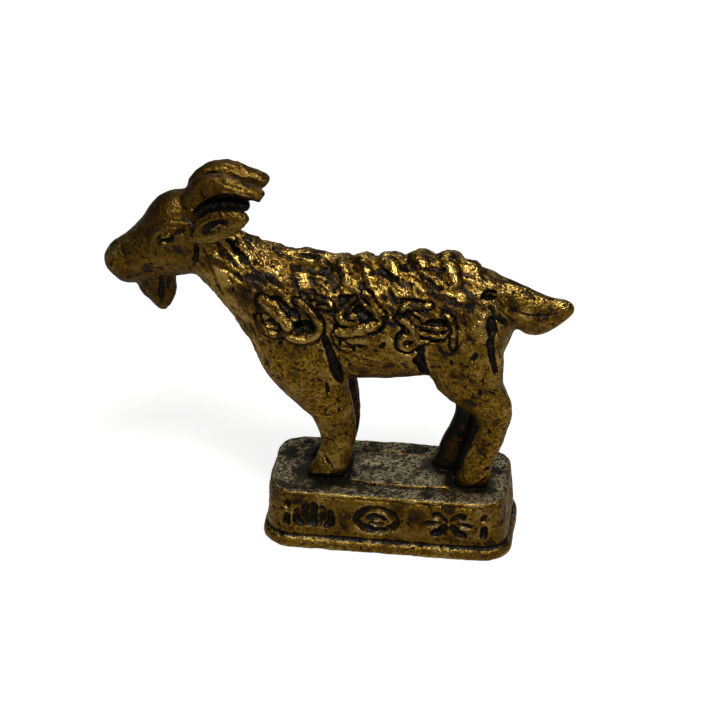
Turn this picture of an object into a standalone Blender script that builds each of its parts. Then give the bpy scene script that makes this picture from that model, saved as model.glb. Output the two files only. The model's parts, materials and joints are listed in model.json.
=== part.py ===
"""Cast brass goat standing on an ornamented plinth.

The goat faces -X, so its left side is -Y. +Z is up, and the origin is the centre of the
plinth's underside. Every size below is in millimetres, and new_solid makes it metres.
Each piece is one closed solid, and a thin film of solder, SEAM, parts it from its neighbours.
"""

import math

import bmesh
import bpy
from mathutils import Vector
from mathutils.bvhtree import BVHTree

METRES = 0.001
SEAM = 0.1

# Plinth: a foot plate, and above it a hollow block that tapers to its top.
PLATE_LENGTH, PLATE_WIDTH, PLATE_HEIGHT, PLATE_EDGE = 17.4, 8.3, 0.9, 0.3
BLOCK_FOOT_LENGTH, BLOCK_FOOT_WIDTH = 16.8, 7.7
BLOCK_TOP_LENGTH, BLOCK_TOP_WIDTH, BLOCK_EDGE = 16.4, 7.2, 0.3
PLINTH_HEIGHT = 4.4
CORNER_RADIUS = 1.8
CORNER_STEPS = 5
WALL = 1.2
PATCH_X, PATCH_LENGTH, PATCH_WIDTH, PATCH_THICKNESS = -0.2, 5.2, 3.0, 0.3
PATCH_POINTS, PATCH_SQUARENESS, PATCH_TOP_SHARE = 20, 0.7, 0.9

# Frieze round the plinth: curled grooves with round ends.
FRIEZE_Z = 2.6
FRIEZE_PITCH = 4.4
CURL_START, CURL_END, CURL_TURN = 1.1, 0.3, 330
CURL_STEPS = 12
GROOVE_RADIUS, GROOVE_POINTS = 0.28, 8

# Goat.
SPINE_Z = 16.8
SOLE_Z = PLINTH_HEIGHT + SEAM
STANCE = 1.0
RIGHT_REAR_LEAD = 1.8
LEAD_FROM_Z, LEAD_FULL_Z = 14.5, 10.0
TENON_RADIUS, TENON_LENGTH, TENON_CLEARANCE = 0.45, 0.9, 0.1
TENON_POINTS = 12
RING_POINTS = 16
BLEND_STEPS = 2
SHARP_ANGLE = math.radians(50)

# Ornament laid on the coat.
CORD_WIDTH, CORD_HEIGHT = 0.55, 0.4
LOCK_HEIGHT, LOCK_SLANT, LOCK_REACH = 0.5, 0.8, 42
LOCK_STEPS = 12
CORD_STEPS = 3
CORD_LIFT = 2 * SEAM
SHOULDER_RISE = 0.5
BLUNT_END, END_RISE = 0.15, 3.0

# Rings along each piece, from its root to its tip. A ring touches two points of the side
# view, each as x and z, and its centre lies at y with the last number as its half width.
TORSO = [
    (-8.8, 17.0, -9.1, 14.4, 0, 1.2),
    (-8.3, 19.0, -8.9, 12.8, 0, 2.2),
    (-6.5, 20.2, -7.0, 12.1, 0, 2.7),
    (-3.6, 20.4, -4.0, 12.0, 0, 2.9),
    (-0.4, 20.8, -0.3, 12.1, 0, 2.9),
    (2.5, 21.2, 2.6, 12.6, 0, 2.95),
    (4.8, 20.9, 5.0, 13.0, 0, 2.8),
    (6.8, 20.2, 7.2, 14.0, 0, 2.3),
    (7.9, 19.0, 8.1, 16.2, 0, 1.3),
]
NECK = [
    (-5.6, 20.4, -8.6, 13.6, 0, 2.3),
    (-7.3, 20.9, -9.8, 14.7, 0, 2.35),
    (-8.9, 21.4, -10.9, 16.5, 0, 2.1),
    (-10.4, 22.2, -12.0, 18.0, 0, 1.8),
    (-12.0, 23.2, -13.0, 18.9, 0, 1.45),
    (-12.8, 22.8, -13.5, 19.8, 0, 1.0),
]
MANE_CREST = [
    (-10.4, 22.5, -10.0, 21.9, 0, 0.4),
    (-8.8, 21.8, -8.6, 20.8, 0, 0.65),
    (-6.6, 21.3, -6.5, 20.0, 0, 0.7),
    (-4.4, 21.1, -4.4, 20.2, 0, 0.4),
]
HEAD = [
    (-11.9, 23.7, -11.9, 22.2, 0, 0.8),
    (-12.6, 24.8, -12.4, 20.0, 0, 1.5),
    (-14.2, 25.2, -13.4, 19.2, 0, 1.8),
    (-15.7, 24.6, -14.9, 18.8, 0, 1.75),
    (-16.9, 22.8, -16.0, 18.4, 0, 1.5),
    (-18.1, 21.5, -17.3, 18.1, 0, 1.25),
    (-19.0, 20.9, -18.3, 18.2, 0, 1.25),
    (-19.5, 20.0, -19.1, 19.0, 0, 0.7),
]
HORN = [
    (-13.9, 24.2, -12.5, 23.9, -0.95, 0.6),
    (-13.7, 25.7, -12.2, 25.0, -1.0, 0.66),
    (-12.7, 26.7, -11.8, 25.3, -1.1, 0.68),
    (-11.3, 27.0, -11.0, 25.5, -1.2, 0.68),
    (-9.8, 26.6, -9.8, 25.3, -1.3, 0.62),
    (-8.8, 26.2, -8.9, 25.2, -1.35, 0.5),
    (-8.4, 26.0, -8.5, 25.6, -1.35, 0.2),
]
EAR = [
    (-13.4, 22.9, -13.0, 22.2, -1.45, 0.3),
    (-12.7, 24.2, -12.0, 22.5, -1.8, 0.4),
    (-11.4, 24.9, -10.8, 23.1, -2.2, 0.36),
    (-10.2, 25.1, -9.8, 23.9, -2.4, 0.3),
    (-9.4, 25.0, -9.3, 24.6, -2.4, 0.15),
]
BEARD = [
    (-17.5, 19.4, -14.8, 19.6, 0, 0.6),
    (-17.2, 17.6, -14.7, 17.7, 0, 0.65),
    (-16.6, 16.9, -14.9, 16.9, 0, 0.5),
    (-16.0, 16.2, -15.4, 16.2, 0, 0.25),
]
TAIL = [
    (6.6, 20.3, 6.6, 18.7, 0, 0.7),
    (7.8, 20.0, 7.8, 17.1, 0, 0.95),
    (9.2, 19.4, 9.1, 16.1, 0, 0.95),
    (10.4, 18.9, 10.2, 16.2, 0, 0.8),
    (11.6, 18.7, 11.4, 17.1, 0, 0.55),
    (12.2, 18.3, 12.1, 17.8, 0, 0.25),
]
FRONT_LEG = [
    (-6.6, 16.6, -5.2, 16.8, -1.75, 0.5),
    (-7.9, 15.2, -4.2, 15.4, -1.85, 1.05),
    (-8.6, 13.3, -3.3, 13.6, -1.75, 1.25),
    (-7.2, 11.1, -2.7, 11.5, -1.45, 1.1),
    (-5.5, 9.4, -2.4, 9.6, -1.2, 0.9),
    (-4.8, 7.7, -2.3, 7.9, -1.05, 0.72),
    (-4.8, 6.5, -2.5, 6.6, -STANCE, 0.66),
    (-5.2, 5.5, -2.8, 5.6, -STANCE, 0.75),
    (-5.9, SOLE_Z, -3.0, SOLE_Z, -STANCE, 0.85),
]
REAR_LEG = [
    (4.0, 18.0, 5.8, 18.0, -1.7, 0.5),
    (3.0, 16.6, 7.3, 16.7, -1.85, 1.05),
    (2.7, 14.4, 7.7, 14.8, -1.75, 1.25),
    (3.2, 12.3, 7.7, 12.8, -1.5, 1.1),
    (4.8, 10.8, 8.3, 11.1, -1.25, 0.9),
    (6.1, 9.5, 8.2, 9.6, -1.05, 0.72),
    (5.8, 8.0, 7.8, 8.1, -STANCE, 0.65),
    (5.2, 6.6, 7.3, 6.7, -STANCE, 0.66),
    (4.9, 5.5, 7.0, 5.7, -STANCE, 0.72),
    (4.4, SOLE_Z, 6.8, SOLE_Z, -STANCE, 0.8),
]

# Scrolls on each flank, from end to end in the side view, as x and z.
FLANK_SCROLLS = {
    "collar": [(-9.2, 18.5), (-8.7, 17.8), (-9.2, 17.1), (-8.7, 16.3), (-7.9, 16.0)],
    "shoulder": [
        (-8.0, 19.1), (-6.5, 17.5), (-6.7, 16.5), (-5.8, 15.9), (-4.6, 16.5),
        (-4.4, 17.4), (-5.4, 18.2), (-5.9, 19.0), (-5.0, 19.5),
    ],
    "middle": [
        (-3.5, 16.4), (-2.2, 16.6), (-0.9, 17.2), (-0.6, 18.3),
        (-1.7, 19.2), (-2.9, 19.1), (-3.3, 18.3), (-2.5, 17.7),
    ],
    "rear": [
        (3.7, 17.3), (2.7, 17.7), (1.8, 17.5), (1.6, 16.8),
        (0.9, 16.4), (0.9, 15.8), (1.6, 15.5), (2.3, 15.9),
    ],
    "haunch": [
        (0.4, 18.6), (1.5, 19.3), (2.9, 19.1), (4.2, 18.8),
        (4.8, 17.8), (4.8, 16.5), (4.2, 15.7), (3.4, 15.9),
    ],
}
# Locks across the back: x on the spine, and width.
BACK_LOCKS = [(-3.7, 0.8), (-2.2, 0.9), (-0.4, 1.2), (1.6, 1.2), (3.5, 1.3)]


# ---------------------------------------------------------------- materials

def brass(name, colour, roughness):
    """A solid brass with this base colour."""
    material = bpy.data.materials.new(name)
    material.use_nodes = True
    shader = material.node_tree.nodes["Principled BSDF"]
    shader.inputs["Base Color"].default_value = (*colour, 1.0)
    shader.inputs["Metallic"].default_value = 1.0
    shader.inputs["Roughness"].default_value = roughness
    material.diffuse_color = (*colour, 1.0)
    return material


# ---------------------------------------------------------------- solids from rings

def new_solid(name, rings, material=None, smooth=True):
    """A solid through closed rings of points in millimetres, with a cap on each end."""
    build = bmesh.new()
    loops = [[build.verts.new(Vector(point) * METRES) for point in ring] for ring in rings]
    for low, high in zip(loops, loops[1:]):
        for i, point in enumerate(low):
            j = (i + 1) % len(low)
            build.faces.new((point, low[j], high[j], high[i]))
    build.faces.new(loops[0])
    build.faces.new(loops[-1])
    bmesh.ops.recalc_face_normals(build, faces=build.faces)
    mesh = bpy.data.meshes.new(name)
    build.to_mesh(mesh)
    build.free()
    if smooth:
        mesh.shade_smooth()
        mesh.set_sharp_from_angle(angle=SHARP_ANGLE)
    obj = bpy.data.objects.new(name, mesh)
    bpy.context.scene.collection.objects.link(obj)
    if material:
        mesh.materials.append(material)
    return obj


def cutter(name, rings):
    """A solid that only shapes other solids."""
    obj = new_solid(name, rings)
    obj.hide_render = True
    obj.display_type = "WIRE"
    return obj


def boolean(obj, tool, operation="DIFFERENCE"):
    modifier = obj.modifiers.new(tool.name, "BOOLEAN")
    modifier.operation = operation
    modifier.object = tool
    modifier.solver = "EXACT"


def blend_rows(rows, steps):
    """Rows of numbers along a Catmull-Rom curve through the given rows."""
    blended = []
    last = len(rows) - 1
    for k in range(last):
        near = [rows[max(0, min(last, k + offset))] for offset in (-1, 0, 1, 2)]
        for step in range(steps):
            t = step / steps
            weights = (
                (2 * t**2 - t - t**3) / 2,
                (2 - 5 * t**2 + 3 * t**3) / 2,
                (t + 4 * t**2 - 3 * t**3) / 2,
                (t**3 - t**2) / 2,
            )
            columns = zip(*near)
            blended.append([sum(w * v for w, v in zip(weights, column)) for column in columns])
    blended.append(list(rows[-1]))
    return blended


def circle_of(count):
    """The cosine and sine of each of count equal turns."""
    return [(math.cos(math.tau * i / count), math.sin(math.tau * i / count)) for i in range(count)]


# ---------------------------------------------------------------- limbs

def limb_rings(stations, grow):
    """Elliptic rings along a limb, each grown outwards by the same amount."""
    rows = blend_rows(stations, BLEND_STEPS)
    centres = [Vector(((ux + lx) / 2, y, (uz + lz) / 2)) for ux, uz, lx, lz, y, _ in rows]
    root_push = (centres[0] - centres[1]).normalized() * grow
    tip_push = (centres[-1] - centres[-2]).normalized() * grow
    rings = []
    for k, (ux, uz, lx, lz, _, width) in enumerate(rows):
        centre = centres[k] + (root_push if k == 0 else tip_push if k == len(rows) - 1 else Vector())
        half = Vector((ux - lx, 0, uz - lz)) / 2
        up = half.normalized() * (half.length + grow)
        side = Vector((0, width + grow, 0))
        rings.append([centre + up * c + side * s for c, s in circle_of(RING_POINTS)])
    return rings


def limb(name, stations, material):
    return new_solid(name, limb_rings(stations, 0.0), material)


def seat(name, stations):
    """The hollow that a limb leaves in its neighbours, with room for the solder."""
    return cutter(name + "_seat", limb_rings(stations, SEAM))


def to_right(stations):
    return [(ux, uz, lx, lz, -y, width) for ux, uz, lx, lz, y, width in stations]


def striding(stations, lead):
    """The same leg with its foot set forward, and its hip where it was."""
    moved = []
    for ux, uz, lx, lz, y, width in stations:
        share = (LEAD_FROM_Z - (uz + lz) / 2) / (LEAD_FROM_Z - LEAD_FULL_Z)
        shift = lead * max(0.0, min(1.0, share))
        moved.append((ux - shift, uz, lx - shift, lz, y, width))
    return moved


def pin_rings(sole, radius, top, bottom):
    """An upright pin under the middle of a sole."""
    x, y = (sole[0] + sole[2]) / 2, sole[4]
    return [
        [Vector((x + radius * c, y + radius * s, z)) for c, s in circle_of(TENON_POINTS)]
        for z in (bottom, top)
    ]


def leg(name, stations, material, block):
    """A leg with its hoof and a tenon, and the tenon's mortise in the plinth block."""
    obj = limb(name, stations, material)
    low = PLINTH_HEIGHT - TENON_LENGTH
    tenon = cutter(name + "_tenon", pin_rings(stations[-1], TENON_RADIUS, SOLE_Z + TENON_RADIUS, low))
    boolean(obj, tenon, "UNION")
    mortise_radius = TENON_RADIUS + TENON_CLEARANCE
    top, bottom = PLINTH_HEIGHT + WALL, PLINTH_HEIGHT - 2 * WALL
    boolean(block, cutter(name + "_mortise", pin_rings(stations[-1], mortise_radius, top, bottom)))
    return obj


# ---------------------------------------------------------------- plinth

def rounded_ring(length, width, radius, z):
    """A level rectangle with round corners."""
    ring = []
    for corner, (sx, sy) in enumerate(((1, 1), (-1, 1), (-1, -1), (1, -1))):
        for step in range(CORNER_STEPS + 1):
            turn = math.pi / 2 * (corner + step / CORNER_STEPS)
            x = sx * (length / 2 - radius) + radius * math.cos(turn)
            y = sy * (width / 2 - radius) + radius * math.sin(turn)
            ring.append(Vector((x, y, z)))
    return ring


def base_plate(material):
    """The foot plate, with a chamfer above and below its rim."""
    length, width, edge = PLATE_LENGTH, PLATE_WIDTH, PLATE_EDGE
    inner = (length - 2 * edge, width - 2 * edge, CORNER_RADIUS - edge)
    return new_solid("base_plate", [
        rounded_ring(*inner, 0.0),
        rounded_ring(length, width, CORNER_RADIUS, edge),
        rounded_ring(length, width, CORNER_RADIUS, PLATE_HEIGHT - edge),
        rounded_ring(*inner, PLATE_HEIGHT),
    ], material, smooth=False)


def curl_rings(centre, run, out, mirror):
    """A curled groove round centre, in the plane of run and Z. out points away from the face."""
    points = []
    for step in range(CURL_STEPS + 1):
        share = step / CURL_STEPS
        turn = math.radians(CURL_TURN) * share
        radius = CURL_START + (CURL_END - CURL_START) * share
        rise = Vector((0, 0, radius * math.sin(turn)))
        points.append(centre + run * (mirror * radius * math.cos(turn)) + rise)
    rings = []
    for k, point in enumerate(points):
        ahead = (points[min(k + 1, CURL_STEPS)] - points[max(k - 1, 0)]).normalized()
        side = ahead.cross(out)
        rings.append([point + (side * c + out * s) * GROOVE_RADIUS for c, s in circle_of(GROOVE_POINTS)])
    return rings


def cut_frieze(block):
    """Cuts three curls into each long side of the block and one into each end."""
    half_length = (BLOCK_FOOT_LENGTH + BLOCK_TOP_LENGTH) / 4
    half_width = (BLOCK_FOOT_WIDTH + BLOCK_TOP_WIDTH) / 4
    for y_side in (-1, 1):
        for number in (-1, 0, 1):
            centre = Vector((number * FRIEZE_PITCH, y_side * half_width, FRIEZE_Z))
            rings = curl_rings(centre, Vector((1, 0, 0)), Vector((0, y_side, 0)), 1 if number else -1)
            boolean(block, cutter(f"curl_{number + 2}_{'right' if y_side > 0 else 'left'}", rings))
    for x_side in (-1, 1):
        centre = Vector((x_side * half_length, 0, FRIEZE_Z))
        rings = curl_rings(centre, Vector((0, 1, 0)), Vector((x_side, 0, 0)), x_side)
        boolean(block, cutter("curl_rear" if x_side > 0 else "curl_front", rings))


def plinth_block(material):
    """The tapered block, hollow from below, with the frieze cut into its sides."""
    foot = PLATE_HEIGHT + SEAM
    block = new_solid("plinth_block", [
        rounded_ring(BLOCK_FOOT_LENGTH, BLOCK_FOOT_WIDTH, CORNER_RADIUS, foot),
        rounded_ring(BLOCK_TOP_LENGTH, BLOCK_TOP_WIDTH, CORNER_RADIUS, PLINTH_HEIGHT - BLOCK_EDGE),
        rounded_ring(
            BLOCK_TOP_LENGTH - 2 * BLOCK_EDGE,
            BLOCK_TOP_WIDTH - 2 * BLOCK_EDGE,
            CORNER_RADIUS - BLOCK_EDGE,
            PLINTH_HEIGHT,
        ),
    ], material, smooth=False)
    inside = (BLOCK_TOP_LENGTH - 2 * WALL, BLOCK_TOP_WIDTH - 2 * WALL, CORNER_RADIUS - WALL / 2)
    boolean(block, cutter("block_hollow", [
        rounded_ring(*inside, foot - WALL),
        rounded_ring(*inside, PLINTH_HEIGHT - WALL),
    ]))
    cut_frieze(block)
    return block


def ground_patch(material):
    """The low round-ended patch of ground between the hooves."""
    low = SOLE_Z
    rings = []
    levels = ((low, 1.0), (low + PATCH_THICKNESS / 2, 1.0), (low + PATCH_THICKNESS, PATCH_TOP_SHARE))
    for z, share in levels:
        ring = []
        for c, s in circle_of(PATCH_POINTS):
            x = PATCH_X + math.copysign(abs(c) ** PATCH_SQUARENESS, c) * share * PATCH_LENGTH / 2
            y = math.copysign(abs(s) ** PATCH_SQUARENESS, s) * share * PATCH_WIDTH / 2
            ring.append(Vector((x, y, z)))
        rings.append(ring)
    return new_solid("ground_patch", rings, material)


# ---------------------------------------------------------------- ornament on the coat

def coat_of(objects):
    """The outer surface of these solids as their modifiers leave them, in millimetres."""
    bpy.context.view_layer.update()
    graph = bpy.context.evaluated_depsgraph_get()
    points, faces = [], []
    for obj in objects:
        solid = obj.evaluated_get(graph)
        mesh = solid.to_mesh()
        start = len(points)
        points += [vertex.co / METRES for vertex in mesh.vertices]
        faces += [tuple(start + i for i in face.vertices) for face in mesh.polygons]
        solid.to_mesh_clear()
    return BVHTree.FromPolygons(points, faces)


def on_flank(coat, x, z, side):
    """The point of the coat at this x and z, on the side that side gives."""
    return coat.ray_cast(Vector((x, side * PLATE_WIDTH, z)), Vector((0, -side, 0)))[0]


def on_back(coat, x, turn):
    """The point of the coat at this x, seen from the spine at this turn from upright."""
    out = Vector((0, math.sin(turn), math.cos(turn)))
    return coat.ray_cast(Vector((x, 0, SPINE_Z)) + out * PLATE_LENGTH, -out)[0]


def cord(name, places, height, material):
    """A cord with a rounded top and blunt ends. A place is a left edge, middle, right edge and way out."""
    rings = []
    last = len(places) - 1
    for k, (left, middle, right, out) in enumerate(places):
        from_end = min(k, last - k) / last
        share = math.sin(math.pi / 2 * min(1.0, BLUNT_END + END_RISE * from_end))
        profile = (
            (left, 0.0), (middle, 0.0), (right, 0.0),
            (right, SHOULDER_RISE), (middle, 1.0), (left, SHOULDER_RISE),
        )
        rings.append([
            middle + (edge - middle) * share + out * (CORD_LIFT + height * share * rise)
            for edge, rise in profile
        ])
    return new_solid(name, rings, material)


def flank_scroll(name, coat, path, side, material):
    """A cord along a path in the side view."""
    rows = [Vector(row) for row in blend_rows(path, CORD_STEPS)]
    places = []
    for k, here in enumerate(rows):
        run = (rows[min(k + 1, len(rows) - 1)] - rows[max(k - 1, 0)]).normalized()
        across = run.orthogonal() * CORD_WIDTH / 2
        left = on_flank(coat, *(here + across), side)
        right = on_flank(coat, *(here - across), side)
        middle = on_flank(coat, *here, side)
        out = (left - right).cross(Vector((run.x, 0, run.y))).normalized()
        places.append((left, middle, right, out if out.y * side > 0 else -out))
    return cord(name, places, CORD_HEIGHT, material)


def back_lock(name, coat, x, width, material):
    """A lock of fleece that lies across the spine, slanting back on its way down."""
    places = []
    for step in range(LOCK_STEPS + 1):
        share = 2 * step / LOCK_STEPS - 1
        turn = math.radians(LOCK_REACH) * share
        here = x + LOCK_SLANT * abs(share)
        edges = [on_back(coat, here + offset, turn) for offset in (-width / 2, 0, width / 2)]
        places.append((*edges, Vector((0, math.sin(turn), math.cos(turn)))))
    return cord(name, places, LOCK_HEIGHT, material)


def main():
    for obj in list(bpy.data.objects):
        bpy.data.objects.remove(obj)

    antique = brass("antique_brass", (0.36, 0.25, 0.06), 0.38)
    rubbed = brass("rubbed_brass", (0.62, 0.45, 0.14), 0.28)
    aged = brass("aged_brass", (0.33, 0.25, 0.09), 0.42)

    base_plate(aged)
    block = plinth_block(aged)
    ground_patch(aged)

    torso = limb("torso", TORSO, antique)
    neck = limb("neck", NECK, antique)
    head = limb("head", HEAD, antique)

    right_rear = striding(to_right(REAR_LEG), RIGHT_REAR_LEAD)
    legs = {
        "front_leg_left": FRONT_LEG,
        "front_leg_right": to_right(FRONT_LEG),
        "rear_leg_left": REAR_LEG,
        "rear_leg_right": right_rear,
    }
    coat_pieces = [torso, neck]
    for name, stations in legs.items():
        coat_pieces.append(leg(name, stations, antique, block))
        leg_seat = seat(name, stations)
        boolean(torso, leg_seat)
        if name.startswith("front"):
            boolean(neck, leg_seat)
    boolean(torso, seat("neck", NECK))
    boolean(neck, seat("head", HEAD))

    for side, turned in (("left", list), ("right", to_right)):
        limb("horn_" + side, turned(HORN), rubbed)
        boolean(head, seat("horn_" + side, turned(HORN)))
        limb("ear_" + side, turned(EAR), antique)
        ear_seat = seat("ear_" + side, turned(EAR))
        boolean(head, ear_seat)
        boolean(neck, ear_seat)
    limb("beard", BEARD, antique)
    boolean(head, seat("beard", BEARD))
    limb("tail", TAIL, rubbed)
    boolean(torso, seat("tail", TAIL))

    coat = coat_of(coat_pieces)
    for side_name, side in (("left", -1), ("right", 1)):
        for place, path in FLANK_SCROLLS.items():
            flank_scroll(f"scroll_{place}_{side_name}", coat, path, side, rubbed)
    for number, (x, width) in enumerate(BACK_LOCKS, 1):
        back_lock(f"back_lock_{number}", coat, x, width, rubbed)
    limb("mane_crest", MANE_CREST, rubbed)
    crest_seat = seat("mane_crest", MANE_CREST)
    boolean(torso, crest_seat)
    boolean(neck, crest_seat)


main()
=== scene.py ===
"""A small cast brass goat standing on an oblong plinth, modelled over the fixed CAD frame.

The CAD nodes are turned into one distance field, melted together as one casting would be, and carved.
The carved surface is then shared out again, one piece for each CAD node. Lengths are in millimetres
until the pieces are made, and in metres for the stage, the lights and the camera.
"""
import json
import math

import bpy
import numpy as np
import openvdb
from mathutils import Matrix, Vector

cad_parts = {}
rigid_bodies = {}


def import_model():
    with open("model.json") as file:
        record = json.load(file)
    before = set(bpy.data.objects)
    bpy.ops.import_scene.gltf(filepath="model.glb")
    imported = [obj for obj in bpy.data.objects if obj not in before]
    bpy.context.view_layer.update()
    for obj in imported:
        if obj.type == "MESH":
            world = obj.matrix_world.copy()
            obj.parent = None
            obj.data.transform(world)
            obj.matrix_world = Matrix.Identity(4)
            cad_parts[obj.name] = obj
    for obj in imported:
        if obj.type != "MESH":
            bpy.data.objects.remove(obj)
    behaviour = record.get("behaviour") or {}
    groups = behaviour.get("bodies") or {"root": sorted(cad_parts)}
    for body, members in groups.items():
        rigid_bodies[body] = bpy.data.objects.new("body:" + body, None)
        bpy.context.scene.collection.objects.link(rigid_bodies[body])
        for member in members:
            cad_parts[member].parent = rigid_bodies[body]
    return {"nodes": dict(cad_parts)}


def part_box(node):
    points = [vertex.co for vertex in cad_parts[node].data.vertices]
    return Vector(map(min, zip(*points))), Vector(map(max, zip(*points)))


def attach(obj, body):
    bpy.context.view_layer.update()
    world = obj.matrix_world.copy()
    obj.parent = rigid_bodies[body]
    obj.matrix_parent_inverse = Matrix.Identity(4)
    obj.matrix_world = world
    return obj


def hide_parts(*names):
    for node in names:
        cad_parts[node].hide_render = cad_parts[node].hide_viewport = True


MM = 1000.0
CELL = 0.065  # side of one cell of the field
BAND = 1.1  # how far from a surface the field is kept
MARGIN = 0.6  # room round the CAD parts
SEAM_HALF = 0.06  # the CAD parts stand this far back from the shared seam
SIDES = NEAR, FAR = -1.0, 1.0  # the side of the goat, along Y
EVERYWHERE = ...

# How each CAD part melts into what is there already: blend radius and growth.
LIMBS = ("front_leg_left", "front_leg_right", "rear_leg_left", "rear_leg_right", "head", "tail")
MELT = (
    ("torso", 0.1, SEAM_HALF),
    ("neck", 0.9, SEAM_HALF),
    *((limb, 0.5, SEAM_HALF) for limb in LIMBS),
    ("mane_crest", 0.45, -0.02),
)
MELT_FINE = (
    ("beard", 0.35, SEAM_HALF),
    *((horn, 0.35, 0.05) for horn in ("horn_left", "horn_right")),
    *((ear, 0.15, 0.1) for ear in ("ear_left", "ear_right")),
)
SOFTEN, SOFTEN_FINE = 0.16, 0.05  # blur after each round of melting
HORNS_CLOSER = 0.3  # how far each horn is moved towards the middle
CORD_HEIGHT = 0.04  # how proud of the flank the cords' edges stand
CORD_CREST = 0.16  # and their middles

# Sheets that fill the gap between each horn and ear and the gap between the rear legs, painted dark as shade:
# radius, then points in X, Y (as a distance out) and Z.
SHADE_WEBS = (
    (0.45, (-12.6, 0.8, 24.1), (-12.1, 0.8, 24.45), (-11.2, 0.8, 24.75), (-9.85, 0.8, 24.8)),
    (0.38, (6.1, 0, 9.6), (5.7, 0, 7.7), (5.1, 0, 5.8), (4.8, 0, 4.5)),
)
# Undercuts that go clear: the space below each horn and the cleft between the horns. Their walls are painted
# dark as shade.
TUNNELS = (
    (0.4, (-12.6, 1.3, 24.3), (-12.1, 1.3, 24.8), (-11.2, 1.3, 25.15), (-10.4, 1.3, 25.25), (-8.8, 1.3, 25)),
    (0.4, (-12.5, 1.8, 24.6), (-12, 1.8, 25.1), (-11.2, 1.8, 25.45), (-10.4, 1.8, 25.55), (-8.8, 1.8, 25.3)),
    (0.28, (-13, 0, 25.75), (-12.3, 0, 26.3), (-11.5, 0, 26.65), (-10.5, 0, 26.75), (-9.8, 0, 26.5)),
)

# Relief on the flanks: the CAD part it is measured from, then each stroke's radius, and its points as offsets
# in X and Z from the low corner of that part's box, in tenths of a millimetre. Dishes are shallow bowls, cuts
# are hollows, pools are painted dark in the recesses as patina and painted shade, cords and ridges stand
# proud, and lines are scored.
TENTHS = 10
DISHES = {
    "ear_left": (
        (0.42, (10, 11), (15, 16), (22, 21), (28, 23)),
    ),
    "head": (
        (0.36, (40, 43), (46, 44), (51, 46)), (0.22, (53, 48), (57, 50)),
    ),
}
CUTS = {
    "scroll_collar_left": (
        (0.14, (6, 28), (8, 22), (10, 16)), (0.28, (14, 11), (19, 11.5), (24, 10)),
        (0.12, (12, 18), (8, 15)),
    ),
    "scroll_shoulder_left": (
        (0.25, (2, 32), (8, 28), (15, 24), (21, 20)), (0.36, (19, 12), (24, 14), (28, 13)),
        (0.12, (37, 18), (37, 15)), (0.12, (23, 30), (28, 27), (34, 25), (39, 27)),
        (0.12, (20, 35), (26, 37), (31, 37)), (0.12, (8, 4), (8, -1)),
    ),
    "scroll_middle_left": (
        (0.14, (-2, 24), (0, 20), (-1, 16)), (0.2, (3, 27), (6, 27), (11, 28)),
        (0.26, (1, 9), (7, 8), (13, 8), (18, 11), (23, 14)),
        (0.35, (16, 21), (20, 19), (22, 16)),
        (0.13, (16, 30), (20, 27), (25, 23), (29, 20)),
        (0.12, (1, 5), (5, 1), (8, -2), (13, -5), (22, -4)), (0.12, (34, -1), (32, -5)),
    ),
    "front_leg_left": (
        (0.27, (44, 130), (46, 122), (49, 112), (52, 98), (56, 89)),
        (0.09, (41, 28), (45, 22), (48, 18)), (0.09, (45, 91), (46, 84)),
        (0.08, (52, 77), (53, 74)), (0.07, (53, 69), (53, 67)),
    ),
    "scroll_haunch_left": (
        (0.2, (5, 38), (12, 37), (19, 38)), (0.16, (10, 31), (14, 29), (19, 26)),
        (0.28, (23, 24), (30, 24), (36, 23)), (0.18, (19, 12), (26, 12), (37, 13)),
    ),
    "scroll_rear_left": (
        (0.2, (-1, 24), (3, 25), (7, 23), (8, 20), (5, 18), (2, 14), (2, 7), (7, 4), (11, 5)),
    ),
    "rear_leg_left": (
        (0.3, (-4, 128), (-4, 121), (-6, 114), (-3, 106), (-2, 96)),
        (0.14, (32, 123), (30, 120)), (0.08, (16, 117), (16, 115)),
        (0.07, (35, 94), (36, 90)), (0.07, (44, 91), (45, 89)),
        (0.2, (41, 149), (42, 138), (42, 128), (44, 116), (46, 106)),
        (0.14, (45, 150), (49, 145), (52, 139)), (0.3, (41, 148), (42, 142), (43, 135)),
        (0.11, (40, 25), (41, 25)), (0.06, (41, 58), (42, 55)),
    ),
    "tail": (
        (0.26, (-2, 36), (3, 36)), (0.16, (0, 31), (2, 29), (5.5, 23.5), (9, 19), (14, 16)),
    ),
    "head": (
        (0.13, (63, 58), (65, 54), (63, 46)),
    ),
    "beard": (
        (0.13, (21, 31), (20, 24), (19, 16), (19, 9)),
    ),
    "torso": (
        (0.2, (82, 86), (87, 86), (93, 84), (97, 85)),
        (0.1, (113, 91), (117, 91), (122, 89)), (0.13, (127, 91), (125, 90), (123, 89)),
        (0.11, (116, 87), (121, 83), (126, 80)), (0.11, (78, 85), (83, 86)),
        (0.12, (26, 92), (37, 91), (46, 90), (52, 82)), (0.1, (64, 84), (65, 83)),
    ),
    "neck": (
        (0.12, (3, 85), (3, 78), (1, 71)), (0.19, (23, 87), (28, 81), (34, 76), (38, 71)),
    ),
    "ear_left": (
        (0.12, (10, 10), (16, 15), (22, 20), (28, 23)),
    ),
}
# Darkened strokes in the carved recesses: painted shade and patina together.
PATINA_AND_SHADE_POOLS = {
    "neck": (
        (0.3, (22, 96), (24, 87), (27, 83)), (0.2, (29, 81), (34, 76), (38, 71)),
    ),
    "head": (
        (0.16, (39.5, 44), (41, 42), (45, 41), (50, 42.5), (53, 45), (53.5, 47.5)),
        (0.06, (39.5, 44.5), (43, 47), (47, 48)), (0.16, (63, 58), (65, 54), (63, 46)),
    ),
    "tail": (
        (0.25, (-2, 36), (3, 36)),
    ),
    "beard": (
        (0.12, (21, 31), (20, 23), (19, 12)),
    ),
}
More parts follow.
